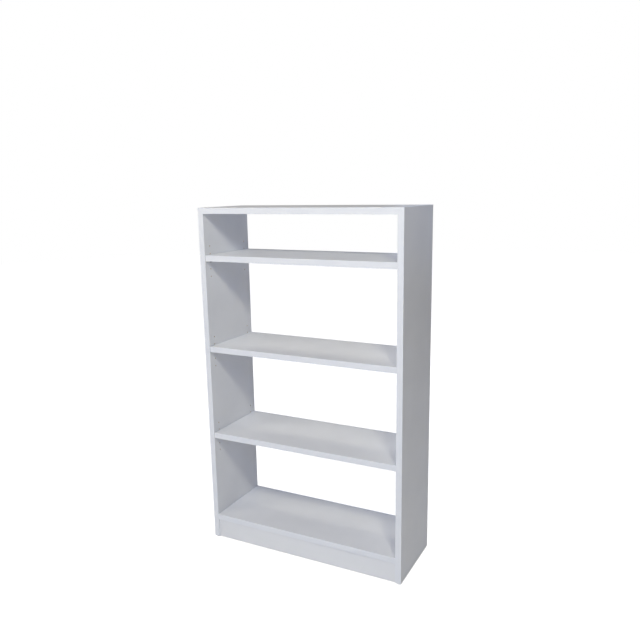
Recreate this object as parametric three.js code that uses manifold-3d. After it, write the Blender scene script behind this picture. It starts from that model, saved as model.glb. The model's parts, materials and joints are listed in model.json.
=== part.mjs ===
// A white melamine bookcase: two full-height side panels, a fixed top, base and plinth, an open back,
// and three shelves that lie on push-in supports and can be moved to other holes.
// Millimetres, +Z up, front towards -Y. The origin is on the floor, in the middle of the footprint.
import * as THREE from "three";
import { mergeVertices } from "three/addons/utils/BufferGeometryUtils.js";
import Module from "manifold-3d";

const wasm = await Module();
wasm.setup();

// ---- Driving dimensions ----
const WIDTH = 900; // over the outside of the side panels
const DEPTH = 330; // front to back, edge bands included
const SIDE_HEIGHT = 1475; // a side panel, its top band included
const BOARD = 25; // thickness of every board
const BAND = 1; // thickness of the edge bands
const GLIDE_HEIGHT = 5; // the side panels stand this far off the floor
const PLINTH_HEIGHT = 85;
const PLINTH_RECESS = 5; // behind the front edges of the side panels
const SHELF_PITCH = 390; // from the top of one board to the top of the next
const SHELF_END_GAP = 1; // between a shelf and each side panel
const SHELF_RECESS = 2; // a shelf's front and back edges inside those of the side panels
const SEAT_GAP = 0.1; // between a shelf and the supports under it
const FIT = 0.2; // clearance round the pieces that sit in bored holes

// Holes for the shelf supports: a front and a back row, in a group of five for each shelf.
const ROW_SETBACK = 37; // from the front and back edges
const HOLE_PITCH = 32;
const HOLES_IN_GROUP = 5;
const PEG_HOLE_RADIUS = 2.5;
const PEG_HOLE_DEPTH = 11;

// A shelf support: a flat ledge on a rounded gusset, with a peg behind it.
const SUPPORT_WIDTH = 10;
const SUPPORT_REACH = 9; // from the side panel towards the bay
const SUPPORT_RISE = 3; // ledge above the peg's axis
const SUPPORT_DROP = 4; // gusset below the peg's axis
const LEDGE_THICKNESS = 2;
const PEG_LENGTH = 9;

// Cam fittings: a cam in the underside of the board, and a bolt in the side panel that it pulls in.
const CAM_SETBACK = 60; // from the front and back edges
const CAM_INSET = 34; // cam's centre from the end of the board
const CAM_RADIUS = 7.5;
const CAM_DEPTH = 17.5; // from the underside of the board
const CAM_CAVITY = { half: 3.7, near: -5, far: 1 }; // holds the bolt's head
const CAM_THROAT_HALF_WIDTH = 2.1; // lets the bolt's neck through
const CROSS_SLOT = { length: 9, width: 1.8, depth: 2.5 };
const BOLT_BORE_RADIUS = 4;
const BOLT_HOLE_DEPTH = 12;
const BOLT_THREAD_LENGTH = 11;

// Dowels: 8 mm beech, half in each board.
const DOWEL_RADIUS = 4;
const DOWEL_LENGTH = 30;
const DOWEL_CHAMFER = 1;
const PLINTH_DOWEL_INSET = 20; // from the plinth's top and bottom edges

// Glides: one under each end of each side panel, with a peg moulded on.
const GLIDE_RADIUS = 12;
const GLIDE_SETBACK = 13; // from the front and back edges
const GLIDE_PEG_RADIUS = 3;
const GLIDE_PEG_LENGTH = 12;

// Sides of the many-sided rounds
const PEG_SIDES = 8;
const DOWEL_SIDES = 12;
const DISC_SIDES = 16;

// ---- Places worked out from them ----
const INSIDE = WIDTH / 2 - BOARD; // inner face of a side panel, from the middle
const SIDE_MIDDLE = WIDTH / 2 - BOARD / 2;
const FRONT = -DEPTH / 2;
const BACK = DEPTH / 2;
const SIDE_TOP = GLIDE_HEIGHT + SIDE_HEIGHT;
const PLINTH_TOP = GLIDE_HEIGHT + PLINTH_HEIGHT;
const BASE_TOP = PLINTH_TOP + BOARD;
const PLINTH_MIDDLE_Y = FRONT + PLINTH_RECESS + BOARD / 2;
const FIXED_BOARDS = { top: SIDE_TOP - BOARD, base: PLINTH_TOP }; // undersides
const SHELF_TOPS = {
  lower: BASE_TOP + SHELF_PITCH,
  middle: BASE_TOP + 2 * SHELF_PITCH,
  upper: BASE_TOP + 3 * SHELF_PITCH,
};
const SIDES = { left: -1, right: 1 };
const ENDS = { front: -1, back: 1 };

// ---- Finishes ----
const finish = (color, roughness, metalness = 0) =>
  new THREE.MeshStandardMaterial({ color, roughness, metalness });
const melamine = finish(0xe9ebef, 0.45);
const edgeBand = finish(0xe3e7ee, 0.35);
const nickel = finish(0xc6c4bf, 0.25, 1);
const dieCastZinc = finish(0xa9abad, 0.45, 1);
const platedSteel = finish(0xb8b4a8, 0.35, 1);
const beech = finish(0xd8b98f, 0.7);
const whiteNylon = finish(0xf0f0ec, 0.5);

// ---- Shapes ----
const X = new THREE.Vector3(1, 0, 0);
const Y = new THREE.Vector3(0, 1, 0);
const Z = new THREE.Vector3(0, 0, 1);
// Turn a shape whose axis is +Y to lie along X, Y or Z, with nothing to round off.
const Y_AXIS_TO = [
  new THREE.Matrix4().makeBasis(Z, X, Y),
  new THREE.Matrix4(),
  new THREE.Matrix4().makeBasis(Y, Z, X),
];
// Turn an extrusion so that it is drawn in YZ or XZ and grows along X or Y.
const DRAWN_IN_YZ = new THREE.Matrix4().makeBasis(Y, Z, X);
const DRAWN_IN_XZ = new THREE.Matrix4().makeBasis(X, Z, Y.clone().negate());

function solidOf(geometry) {
  const bare = geometry.clone();
  bare.deleteAttribute("normal");
  bare.deleteAttribute("uv");
  const merged = mergeVertices(bare, 1e-4);
  const mesh = new wasm.Mesh({
    numProp: 3,
    vertProperties: merged.attributes.position.array,
    triVerts: new Uint32Array(merged.index.array),
  });
  return new wasm.Manifold(mesh);
}

function geometryOf(solid) {
  const { vertProperties, triVerts } = solid.getMesh();
  const geometry = new THREE.BufferGeometry();
  geometry.setAttribute("position", new THREE.BufferAttribute(vertProperties, 3));
  geometry.setIndex(new THREE.BufferAttribute(triVerts, 1));
  geometry.computeVertexNormals();
  return geometry;
}

// The first shape with the others cut out of it.
function cut(shape, tools) {
  return geometryOf(tools.reduce((solid, tool) => solid.subtract(solidOf(tool)), solidOf(shape)));
}

// A box between two corners.
function block(low, high) {
  const size = high.map((value, i) => value - low[i]);
  const middle = high.map((value, i) => (value + low[i]) / 2);
  return new THREE.BoxGeometry(...size).translate(...middle);
}

// A cylinder between two points that differ along one axis. Its corners are on the radius.
function rod(radius, from, to, sides) {
  const axis = from.findIndex((value, i) => value !== to[i]);
  const middle = from.map((value, i) => (value + to[i]) / 2);
  const length = Math.abs(to[axis] - from[axis]);
  return new THREE.CylinderGeometry(radius, radius, length, sides)
    .applyMatrix4(Y_AXIS_TO[axis])
    .translate(...middle);
}

// The same for a hole: its flats are on the radius, so a round piece of that radius goes in.
function bore(radius, from, to, sides) {
  return rod(radius / Math.cos(Math.PI / sides), from, to, sides);
}

// A turned piece along an axis, from pairs of radius and distance along it.
function turned(profile, axis, sides) {
  const points = profile.map(([radius, along]) => new THREE.Vector2(radius, along));
  return new THREE.LatheGeometry(points, sides).applyMatrix4(Y_AXIS_TO[axis]);
}

function piece(name, geometry, material, position = [0, 0, 0]) {
  const mesh = new THREE.Mesh(geometry, material);
  mesh.name = name;
  mesh.position.set(...position);
  return mesh;
}

// A board centred on a point, with tools given in the bookcase's own frame cut out of it.
function board(name, size, centre, tools = []) {
  const moved = tools.map((tool) => tool.translate(...centre.map((value) => -value)));
  const blank = new THREE.BoxGeometry(...size);
  return piece(name, tools.length ? cut(blank, moved) : blank, melamine, centre);
}

// ---- Holes ----
const pegHoleHeights = Object.values(SHELF_TOPS).flatMap((top) =>
  Array.from({ length: HOLES_IN_GROUP }, (_, i) => {
    const fromMiddle = i - (HOLES_IN_GROUP - 1) / 2;
    return top - BOARD - SEAT_GAP - SUPPORT_RISE + fromMiddle * HOLE_PITCH;
  }),
);
const rowPlaces = Object.values(ENDS).map((end) => end * (DEPTH / 2 - ROW_SETBACK));
const camPlaces = Object.values(ENDS).map((end) => end * (DEPTH / 2 - CAM_SETBACK));
const plinthDowelHeights = {
  lower: GLIDE_HEIGHT + PLINTH_DOWEL_INSET,
  upper: PLINTH_TOP - PLINTH_DOWEL_INSET,
};

// A hole bored into a side panel from its inner face.
function sideHole(side, radius, depth, y, z, sides) {
  return bore(radius, [side * (INSIDE - 1), y, z], [side * (INSIDE + depth), y, z], sides);
}

function sidePanelHoles(side) {
  const pegHole = (y, z) => sideHole(side, PEG_HOLE_RADIUS, PEG_HOLE_DEPTH, y, z, PEG_SIDES);
  const boltHole = (y, z) => sideHole(side, PEG_HOLE_RADIUS, BOLT_HOLE_DEPTH, y, z, PEG_SIDES);
  const dowelHole = (y, z) => sideHole(side, DOWEL_RADIUS, DOWEL_LENGTH / 2 + FIT, y, z, DOWEL_SIDES);
  const holes = rowPlaces.flatMap((y) => pegHoleHeights.map((z) => pegHole(y, z)));
  for (const underside of Object.values(FIXED_BOARDS)) {
    const z = underside + BOARD / 2;
    holes.push(...camPlaces.map((y) => boltHole(y, z)), dowelHole(0, z));
  }
  for (const z of Object.values(plinthDowelHeights)) holes.push(dowelHole(PLINTH_MIDDLE_Y, z));
  for (const end of Object.values(ENDS)) {
    const [x, y] = [side * SIDE_MIDDLE, end * (DEPTH / 2 - GLIDE_SETBACK)];
    const depth = GLIDE_HEIGHT + GLIDE_PEG_LENGTH + FIT;
    holes.push(bore(GLIDE_PEG_RADIUS + FIT, [x, y, 0], [x, y, depth], PEG_SIDES));
  }
  return holes;
}

// A hole bored into the end of a board that butts against a side panel.
function endHole(side, radius, depth, y, z) {
  return bore(radius, [side * (INSIDE + 1), y, z], [side * (INSIDE - depth), y, z], DOWEL_SIDES);
}

function fixedBoardHoles(underside) {
  const z = underside + BOARD / 2;
  const holes = [];
  for (const side of Object.values(SIDES)) {
    const x = side * (INSIDE - CAM_INSET);
    for (const y of camPlaces) {
      const [mouth, end] = [underside - 1, underside + CAM_DEPTH + FIT];
      holes.push(bore(CAM_RADIUS, [x, y, mouth], [x, y, end], DISC_SIDES));
      holes.push(endHole(side, BOLT_BORE_RADIUS, CAM_INSET, y, z));
    }
    holes.push(endHole(side, DOWEL_RADIUS, DOWEL_LENGTH / 2 + FIT, 0, z));
  }
  return holes;
}

// ---- Carcass boards and their edge bands ----
function sidePanel(name, side) {
  const size = [BOARD, DEPTH - 2 * BAND, SIDE_HEIGHT - BAND];
  const centre = [side * SIDE_MIDDLE, 0, GLIDE_HEIGHT + size[2] / 2];
  return board(`side_panel_${name}`, size, centre, sidePanelHoles(side));
}

// One strip over the front, top and back edges of a side panel.
function sideBand(name, side) {
  const outline = [
    [FRONT, GLIDE_HEIGHT],
    [FRONT + BAND, GLIDE_HEIGHT],
    [FRONT + BAND, SIDE_TOP - BAND],
    [BACK - BAND, SIDE_TOP - BAND],
    [BACK - BAND, GLIDE_HEIGHT],
    [BACK, GLIDE_HEIGHT],
    [BACK, SIDE_TOP],
    [FRONT, SIDE_TOP],
  ].map(([y, z]) => new THREE.Vector2(y, z));
  const strip = new THREE.ExtrudeGeometry(new THREE.Shape(outline), { depth: BOARD, bevelEnabled: false });
  const x = side * SIDE_MIDDLE - BOARD / 2;
  return piece(`edge_band_side_${name}`, strip.applyMatrix4(DRAWN_IN_YZ), edgeBand, [x, 0, 0]);
}

function fixedBoard(name, underside) {
  const size = [2 * INSIDE, DEPTH - 2 * BAND, BOARD];
  return board(`${name}_panel`, size, [0, 0, underside + BOARD / 2], fixedBoardHoles(underside));
}

function fixedBoardBand(name, endName, underside) {
  const y = ENDS[endName] * (DEPTH / 2 - BAND / 2);
  const strip = new THREE.BoxGeometry(2 * INSIDE, BAND, BOARD);
  return piece(`edge_band_${name}_${endName}`, strip, edgeBand, [0, y, underside + BOARD / 2]);
}

function plinthBoard() {
  const depth = DOWEL_LENGTH / 2 + FIT;
  const holes = Object.values(SIDES).flatMap((side) =>
    Object.values(plinthDowelHeights).map((z) => endHole(side, DOWEL_RADIUS, depth, PLINTH_MIDDLE_Y, z)),
  );
  const centre = [0, PLINTH_MIDDLE_Y, GLIDE_HEIGHT + PLINTH_HEIGHT / 2];
  return board("plinth_board", [2 * INSIDE, BOARD, PLINTH_HEIGHT], centre, holes);
}

// ---- Adjustable shelves ----
function rectangle(PathClass, halfWidth, halfDepth) {
  const outline = new PathClass();
  outline.moveTo(-halfWidth, -halfDepth);
  outline.lineTo(halfWidth, -halfDepth);
  outline.lineTo(halfWidth, halfDepth);
  outline.lineTo(-halfWidth, halfDepth);
  outline.closePath();
  return outline;
}

// A shelf is a plain board with one band all the way round its edges.
function shelf(name, top) {
  const halfWidth = INSIDE - SHELF_END_GAP;
  const halfDepth = DEPTH / 2 - SHELF_RECESS;
  const core = [2 * (halfWidth - BAND), 2 * (halfDepth - BAND), BOARD];
  const ring = rectangle(THREE.Shape, halfWidth, halfDepth);
  ring.holes.push(rectangle(THREE.Path, halfWidth - BAND, halfDepth - BAND));
  const strip = new THREE.ExtrudeGeometry(ring, { depth: BOARD, bevelEnabled: false });
  const group = new THREE.Group();
  group.add(board(`shelf_${name}`, core, [0, 0, top - BOARD / 2]));
  group.add(piece(`edge_band_shelf_${name}`, strip, edgeBand, [0, 0, top - BOARD]));
  return group;
}

// A support's own frame has the mouth of its hole at the origin and the bay towards +X.
function supportGeometry() {
  const gusset = new THREE.Shape();
  gusset.moveTo(FIT, -SUPPORT_DROP);
  gusset.lineTo(2 * FIT, -SUPPORT_DROP);
  gusset.quadraticCurveTo(SUPPORT_REACH, -SUPPORT_DROP, SUPPORT_REACH, SUPPORT_RISE - LEDGE_THICKNESS);
  gusset.lineTo(SUPPORT_REACH, SUPPORT_RISE);
  gusset.lineTo(FIT, SUPPORT_RISE);
  gusset.closePath();
  const sweep = { depth: SUPPORT_WIDTH, bevelEnabled: false, curveSegments: 6 };
  const bracket = new THREE.ExtrudeGeometry(gusset, sweep);
  bracket.applyMatrix4(DRAWN_IN_XZ).translate(0, SUPPORT_WIDTH / 2, 0);
  const peg = rod(PEG_HOLE_RADIUS - FIT, [-PEG_LENGTH, 0, 0], [2 * FIT, 0, 0], DOWEL_SIDES);
  return geometryOf(solidOf(bracket).add(solidOf(peg)));
}

function supports(shelfName, top) {
  const geometry = supportGeometry();
  const z = top - BOARD - SEAT_GAP - SUPPORT_RISE;
  const group = new THREE.Group();
  for (const [sideName, side] of Object.entries(SIDES))
    for (const [endName, end] of Object.entries(ENDS)) {
      const place = [side * INSIDE, end * (DEPTH / 2 - ROW_SETBACK), z];
      const support = piece(`support_${shelfName}_${sideName}_${endName}`, geometry, nickel, place);
      support.rotation.z = side > 0 ? Math.PI : 0;
      group.add(support);
    }
  return group;
}

// ---- Cam fittings, dowels and glides ----
// A cam's own frame has the cam's axis along Z, and the bolt's axis along X, with the side panel at -X.
function camGeometry() {
  const face = FIT - BOARD / 2;
  const body = rod(CAM_RADIUS - FIT, [0, 0, face], [0, 0, CAM_DEPTH - BOARD / 2], DISC_SIDES);
  const { half, near, far } = CAM_CAVITY;
  const cavity = block([near, -half, -half], [far, half, half]);
  const neck = CAM_THROAT_HALF_WIDTH;
  const throat = block([-CAM_RADIUS - 1, -neck, -half], [near + 1, neck, half]);
  const { length, width, depth } = CROSS_SLOT;
  const slots = [
    block([-length / 2, -width / 2, face - 1], [length / 2, width / 2, face + depth]),
    block([-width / 2, -length / 2, face - 1], [width / 2, length / 2, face + depth]),
  ];
  return cut(body, [cavity, throat, ...slots]);
}

// A bolt's own frame has the side panel's inner face at the origin and the cam towards +X.
const BOLT_PROFILE = [
  [0, -BOLT_THREAD_LENGTH],
  [1.6, -BOLT_THREAD_LENGTH],
  [2.2, 1 - BOLT_THREAD_LENGTH],
  [2.2, FIT],
  [3.6, FIT],
  [3.6, 1.2],
  [2.2, 1.2],
  [2.2, 25.5],
  [1.5, 26],
  [1.5, 29.6],
  [3.1, 29.6],
  [3.1, 32.6],
  [0, 32.6],
];

const DOWEL_PROFILE = [
  [0, -DOWEL_LENGTH / 2],
  [DOWEL_RADIUS - DOWEL_CHAMFER - FIT / 2, -DOWEL_LENGTH / 2],
  [DOWEL_RADIUS - FIT, DOWEL_CHAMFER - DOWEL_LENGTH / 2],
  [DOWEL_RADIUS - FIT, DOWEL_LENGTH / 2 - DOWEL_CHAMFER],
  [DOWEL_RADIUS - DOWEL_CHAMFER - FIT / 2, DOWEL_LENGTH / 2],
  [0, DOWEL_LENGTH / 2],
];

const GLIDE_PROFILE = [
  [0, 0],
  [GLIDE_RADIUS - 4, 0],
  [GLIDE_RADIUS - 1.5, 1],
  [GLIDE_RADIUS - 0.3, 2.5],
  [GLIDE_RADIUS, GLIDE_HEIGHT],
  [GLIDE_PEG_RADIUS, GLIDE_HEIGHT],
  [GLIDE_PEG_RADIUS, GLIDE_HEIGHT + GLIDE_PEG_LENGTH - 1],
  [GLIDE_PEG_RADIUS - 1, GLIDE_HEIGHT + GLIDE_PEG_LENGTH],
  [0, GLIDE_HEIGHT + GLIDE_PEG_LENGTH],
];

function camFittings(boardName, underside) {
  const cam = camGeometry();
  const bolt = turned(BOLT_PROFILE, 0, PEG_SIDES);
  const z = underside + BOARD / 2;
  const group = new THREE.Group();
  for (const [sideName, side] of Object.entries(SIDES))
    for (const [endName, end] of Object.entries(ENDS)) {
      const y = end * (DEPTH / 2 - CAM_SETBACK);
      const name = `${boardName}_${sideName}_${endName}`;
      const turn = side > 0 ? Math.PI : 0;
      const fittings = [
        piece(`cam_${name}`, cam, dieCastZinc, [side * (INSIDE - CAM_INSET), y, z]),
        piece(`cam_bolt_${name}`, bolt, platedSteel, [side * INSIDE, y, z]),
      ];
      for (const fitting of fittings) {
        fitting.rotation.z = turn;
        group.add(fitting);
      }
    }
  return group;
}

function dowels() {
  const geometry = turned(DOWEL_PROFILE, 0, DOWEL_SIDES);
  const group = new THREE.Group();
  for (const [sideName, side] of Object.entries(SIDES)) {
    const x = side * INSIDE;
    for (const [boardName, underside] of Object.entries(FIXED_BOARDS))
      group.add(piece(`dowel_${boardName}_${sideName}`, geometry, beech, [x, 0, underside + BOARD / 2]));
    for (const [height, z] of Object.entries(plinthDowelHeights))
      group.add(piece(`dowel_plinth_${sideName}_${height}`, geometry, beech, [x, PLINTH_MIDDLE_Y, z]));
  }
  return group;
}

function glides() {
  const geometry = turned(GLIDE_PROFILE, 2, DISC_SIDES);
  const group = new THREE.Group();
  for (const [sideName, side] of Object.entries(SIDES))
    for (const [endName, end] of Object.entries(ENDS)) {
      const place = [side * SIDE_MIDDLE, end * (DEPTH / 2 - GLIDE_SETBACK), 0];
      group.add(piece(`glide_${sideName}_${endName}`, geometry, whiteNylon, place));
    }
  return group;
}

// ---- The bookcase ----
const bookcase = new THREE.Group();
for (const [name, side] of Object.entries(SIDES)) bookcase.add(sidePanel(name, side), sideBand(name, side));
for (const [name, underside] of Object.entries(FIXED_BOARDS)) {
  bookcase.add(fixedBoard(name, underside), camFittings(name, underside));
  for (const endName of Object.keys(ENDS)) bookcase.add(fixedBoardBand(name, endName, underside));
}
for (const [name, top] of Object.entries(SHELF_TOPS)) bookcase.add(shelf(name, top), supports(name, top));
bookcase.add(plinthBoard(), dowels(), glides());

export default bookcase;
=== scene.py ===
"""The finished look of a white melamine bookcase with adjustable shelves, and a small studio to show it in.

Every piece is made in metres in the frame's own axes: +Z up, the open front towards -Y, the floor at Z 0.
"""

import json
import math
from collections import namedtuple

import bmesh
import bpy
from bpy.props import FloatProperty, FloatVectorProperty, IntProperty, PointerProperty
from bpy.types import NodeSocket, Operator, Panel, PropertyGroup
from mathutils import Matrix, Vector


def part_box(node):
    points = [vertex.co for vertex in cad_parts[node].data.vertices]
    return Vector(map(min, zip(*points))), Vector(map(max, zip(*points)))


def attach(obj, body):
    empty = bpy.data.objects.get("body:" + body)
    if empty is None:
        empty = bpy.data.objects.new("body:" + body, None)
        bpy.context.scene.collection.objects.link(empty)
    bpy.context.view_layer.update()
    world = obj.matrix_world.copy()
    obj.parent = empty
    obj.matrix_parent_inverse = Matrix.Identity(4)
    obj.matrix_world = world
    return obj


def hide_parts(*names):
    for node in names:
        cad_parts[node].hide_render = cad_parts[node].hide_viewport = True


bl_info = {
    "name": "White Melamine Bookcase",
    "version": (1, 0, 0),
    "blender": (4, 5, 0),
    "location": "3D View > Sidebar > Bookcase",
    "description": "Boards, edge bands, shelf supports, fittings and glides of a bookcase, with a studio",
    "category": "Object",
}

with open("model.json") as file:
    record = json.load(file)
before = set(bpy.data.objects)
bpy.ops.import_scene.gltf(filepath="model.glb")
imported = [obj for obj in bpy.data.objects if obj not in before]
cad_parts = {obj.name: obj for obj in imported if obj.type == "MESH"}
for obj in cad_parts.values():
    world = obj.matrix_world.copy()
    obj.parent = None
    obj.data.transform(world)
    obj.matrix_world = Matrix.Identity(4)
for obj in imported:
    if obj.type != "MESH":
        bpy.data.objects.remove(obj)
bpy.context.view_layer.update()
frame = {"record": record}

MM = 0.001
RECORD = frame["record"]
BODY_OF = {node: body for body, nodes in RECORD["behaviour"]["bodies"].items() for node in nodes}
NODES = sorted(BODY_OF)
SIDES = {"left": -1, "right": 1}
ENDS = ("front", "back")
SHELVES = ("lower", "middle", "upper")


def linear(hex_colour):
    """An sRGB hex colour as linear red, green and blue."""
    channels = [int(hex_colour[i : i + 2], 16) / 255 for i in (0, 2, 4)]
    return tuple(c / 12.92 if c <= 0.04045 else ((c + 0.055) / 1.055) ** 2.4 for c in channels)


# ---- What a user can change ----


class BookcaseSizes(PropertyGroup):
    """Sizes of the details that the frame leaves plain."""

    arris: FloatProperty(
        name="Arris", description="Chamfer on a board's sharp edges", default=0.15 * MM, unit="LENGTH"
    )
    band_radius: FloatProperty(
        name="Band radius", description="Rounding of a band's outer edges", default=0.8 * MM, unit="LENGTH"
    )
    band_steps: IntProperty(name="Band steps", description="Facets in that rounding", default=4, min=1)
    hole_pitch: FloatProperty(
        name="Hole pitch", description="From one support hole to the next", default=32 * MM, unit="LENGTH"
    )
    holes_in_group: IntProperty(
        name="Holes in a group", description="Holes, one above another, for each support", default=5, min=1
    )
    hole_radius: FloatProperty(
        name="Support hole radius", description="Radius of a support hole", default=2.5 * MM, unit="LENGTH"
    )
    hole_depth: FloatProperty(
        name="Support hole depth", description="Depth of a support hole", default=11 * MM, unit="LENGTH"
    )
    round_steps: IntProperty(
        name="Round steps", description="Facets round a turned piece or bore", default=32, min=8
    )
    thread_pitch: FloatProperty(
        name="Thread pitch", description="Crest to crest of a bolt's thread", default=2 * MM, unit="LENGTH"
    )
    flutes: IntProperty(name="Flutes", description="Grooves round a dowel", default=14, min=3)


def colour(name, description, hex_colour):
    """A colour property with an sRGB hex default."""
    return FloatVectorProperty(
        name=name, description=description, default=linear(hex_colour), size=3, min=0, max=1, subtype="COLOR"
    )


class BookcaseColours(PropertyGroup):
    """Colours of the finishes."""

    face: colour("Board face", "White melamine face", "ECEDEF")
    face_shade: colour("Board face, shaded", "The face where it is rubbed and slightly soiled", "E9EAEC")
    band: colour("Edge band", "White plastic edge band", "EEF0F4")
    band_shade: colour("Edge band, shaded", "The band along its drawn lines", "EBEDF2")
    chip_pale: colour("Pale chip", "Palest chips in the board's core", "D9BE95")
    chip_dark: colour("Dark chip", "Darkest chips in the board's core", "8A6741")
    nickel: colour("Nickel plate", "Shelf supports", "C9C5BD")
    zinc: colour("Die-cast zinc", "Cams", "A6A8AA")
    plated: colour("Zinc plate", "Cam bolts", "C4C1B2")
    beech_pale: colour("Pale beech", "Early wood of the dowels", "DDBE94")
    beech_dark: colour("Dark beech", "Late wood and rays of the dowels", "B98F63")
    nylon: colour("Nylon", "Floor glides", "F0F0EC")
    floor: colour("Floor", "Studio floor", "F7F7F6")


class BookcaseStudio(PropertyGroup):
    """Camera and light."""

    camera_place: FloatVectorProperty(
        name="Camera", description="Where the camera stands", default=(1.2693, -2.4073, 1.5504),
        subtype="TRANSLATION",
    )
    camera_turn: FloatProperty(
        name="Turn", description="How far the camera looks to the left of straight ahead",
        default=math.radians(27.371), unit="ROTATION",
    )
    camera_tilt: FloatProperty(
        name="Tilt", description="How far the camera looks down", default=math.radians(12.048),
        unit="ROTATION",
    )
    camera_roll: FloatProperty(
        name="Roll", description="How far the camera leans", default=math.radians(-0.996), unit="ROTATION"
    )
    lens: FloatProperty(
        name="Lens", description="Focal length in millimetres on a 36 mm sensor", default=37.37
    )
    rise: FloatProperty(name="Rise", description="Vertical shift of the lens", default=0.0156)
    light: FloatProperty(name="Light", description="Strength of all the lights together", default=1.0, min=0)


# ---- Nodes and materials ----


def plug(node, inputs):
    """Give each of a node's sockets its value, or a link from the output that feeds it."""
    for key, value in inputs.items():
        if isinstance(value, NodeSocket):
            node.id_data.links.new(value, node.inputs[key])
        else:
            node.inputs[key].default_value = value


def add(tree, kind, inputs=None, stops=None, **settings):
    """Add a node with its settings and its plugged inputs. Stops are a ramp's positions and colours."""
    node = tree.nodes.new(kind)
    for name, value in settings.items():
        setattr(node, name, value)
    plug(node, inputs or {})
    for i, (position, value) in enumerate(stops or []):
        while len(node.color_ramp.elements) <= i:
            node.color_ramp.elements.new(position)
        node.color_ramp.elements[i].position = position
        node.color_ramp.elements[i].color = (*value, 1)
    return node


def material(name, finish):
    """The named material, made by finish(tree, shader, coordinates) the first time it is asked for."""
    made = bpy.data.materials.get(name)
    if made is None:
        made = bpy.data.materials.new(name)
        made.use_nodes = True
        tree = made.node_tree
        shader = tree.nodes["Principled BSDF"]
        finish(tree, shader, add(tree, "ShaderNodeTexCoord"))
    return made


def shaded(base, by):
    """A colour made darker."""
    return tuple(channel * by for channel in base)


def melamine_face():
    """Melamine-faced board: resin-soaked paper pressed hot against a finely pitted steel plate.

    It reads as an even, slightly cool white with a soft sheen. The reflections are broken by the pits and by
    the chips that show through as a very low waviness, and handling leaves faint broad rubs.
    """
    colours = bpy.context.scene.bookcase_colours

    def finish(tree, shader, coordinates):
        place = coordinates.outputs["Object"]
        rubs = add(tree, "ShaderNodeTexNoise", {"Vector": place, "Scale": 1 / (140 * MM), "Detail": 4.0})
        tint = add(
            tree, "ShaderNodeValToRGB", {"Fac": rubs.outputs["Fac"]},
            stops=[(0.35, colours.face_shade), (0.6, colours.face)],
        )
        sheen = add(tree, "ShaderNodeTexNoise", {"Vector": place, "Scale": 1 / (35 * MM), "Detail": 3.0})
        rough = add(
            tree, "ShaderNodeMapRange", {"Value": sheen.outputs["Fac"], "To Min": 0.36, "To Max": 0.48}
        )
        # The real pits are 0.4 mm across. They are drawn at 1.5 mm so that a close view still shows them.
        pits = add(tree, "ShaderNodeTexNoise", {"Vector": place, "Scale": 1 / (1.5 * MM), "Detail": 1.0})
        waves = add(tree, "ShaderNodeTexNoise", {"Vector": place, "Scale": 1 / (16 * MM), "Detail": 2.0})
        low = add(
            tree, "ShaderNodeBump", {"Height": waves.outputs["Fac"], "Distance": 0.05 * MM, "Strength": 0.5}
        )
        fine = add(
            tree, "ShaderNodeBump",
            {
                "Height": pits.outputs["Fac"], "Distance": 0.02 * MM, "Strength": 0.5,
                "Normal": low.outputs["Normal"],
            },
        )
        plug(shader, {"Base Color": tint.outputs["Color"], "Roughness": rough.outputs["Result"]})
        plug(shader, {"Normal": fine.outputs["Normal"], "IOR": 1.5})

    return material("White melamine face, pearl press", finish)


def edge_band():
    """ABS edge band, extruded, glued on hot and trimmed with a rounded scraper.

    It is a little bluer and glossier than the face, and catches the light as a brighter line. Fine lines run
    along it from the die and the scraper.
    """
    colours = bpy.context.scene.bookcase_colours

    def finish(tree, shader, coordinates):
        # The band's own map runs along it in U and across it in V, in metres.
        along = add(
            tree, "ShaderNodeMapping", {"Vector": coordinates.outputs["UV"], "Scale": (3.0, 1500.0, 1.0)}
        )
        lines = add(
            tree, "ShaderNodeTexNoise", {"Vector": along.outputs["Vector"], "Scale": 1.0, "Detail": 2.0}
        )
        patches = add(
            tree, "ShaderNodeTexNoise",
            {"Vector": coordinates.outputs["Object"], "Scale": 1 / (90 * MM), "Detail": 2.0},
        )
        both = add(
            tree, "ShaderNodeMath", {0: lines.outputs["Fac"], 1: patches.outputs["Fac"]}, operation="MULTIPLY"
        )
        tint = add(
            tree, "ShaderNodeValToRGB", {"Fac": both.outputs["Value"]},
            stops=[(0.12, colours.band_shade), (0.3, colours.band)],
        )
        rough = add(
            tree, "ShaderNodeMapRange", {"Value": lines.outputs["Fac"], "To Min": 0.3, "To Max": 0.36}
        )
        ridges = add(
            tree, "ShaderNodeBump", {"Height": lines.outputs["Fac"], "Distance": 0.01 * MM, "Strength": 0.3}
        )
        plug(shader, {"Base Color": tint.outputs["Color"], "Roughness": rough.outputs["Result"]})
        plug(shader, {"Normal": ridges.outputs["Normal"], "IOR": 1.53})

    return material("White ABS edge band", finish)


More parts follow.
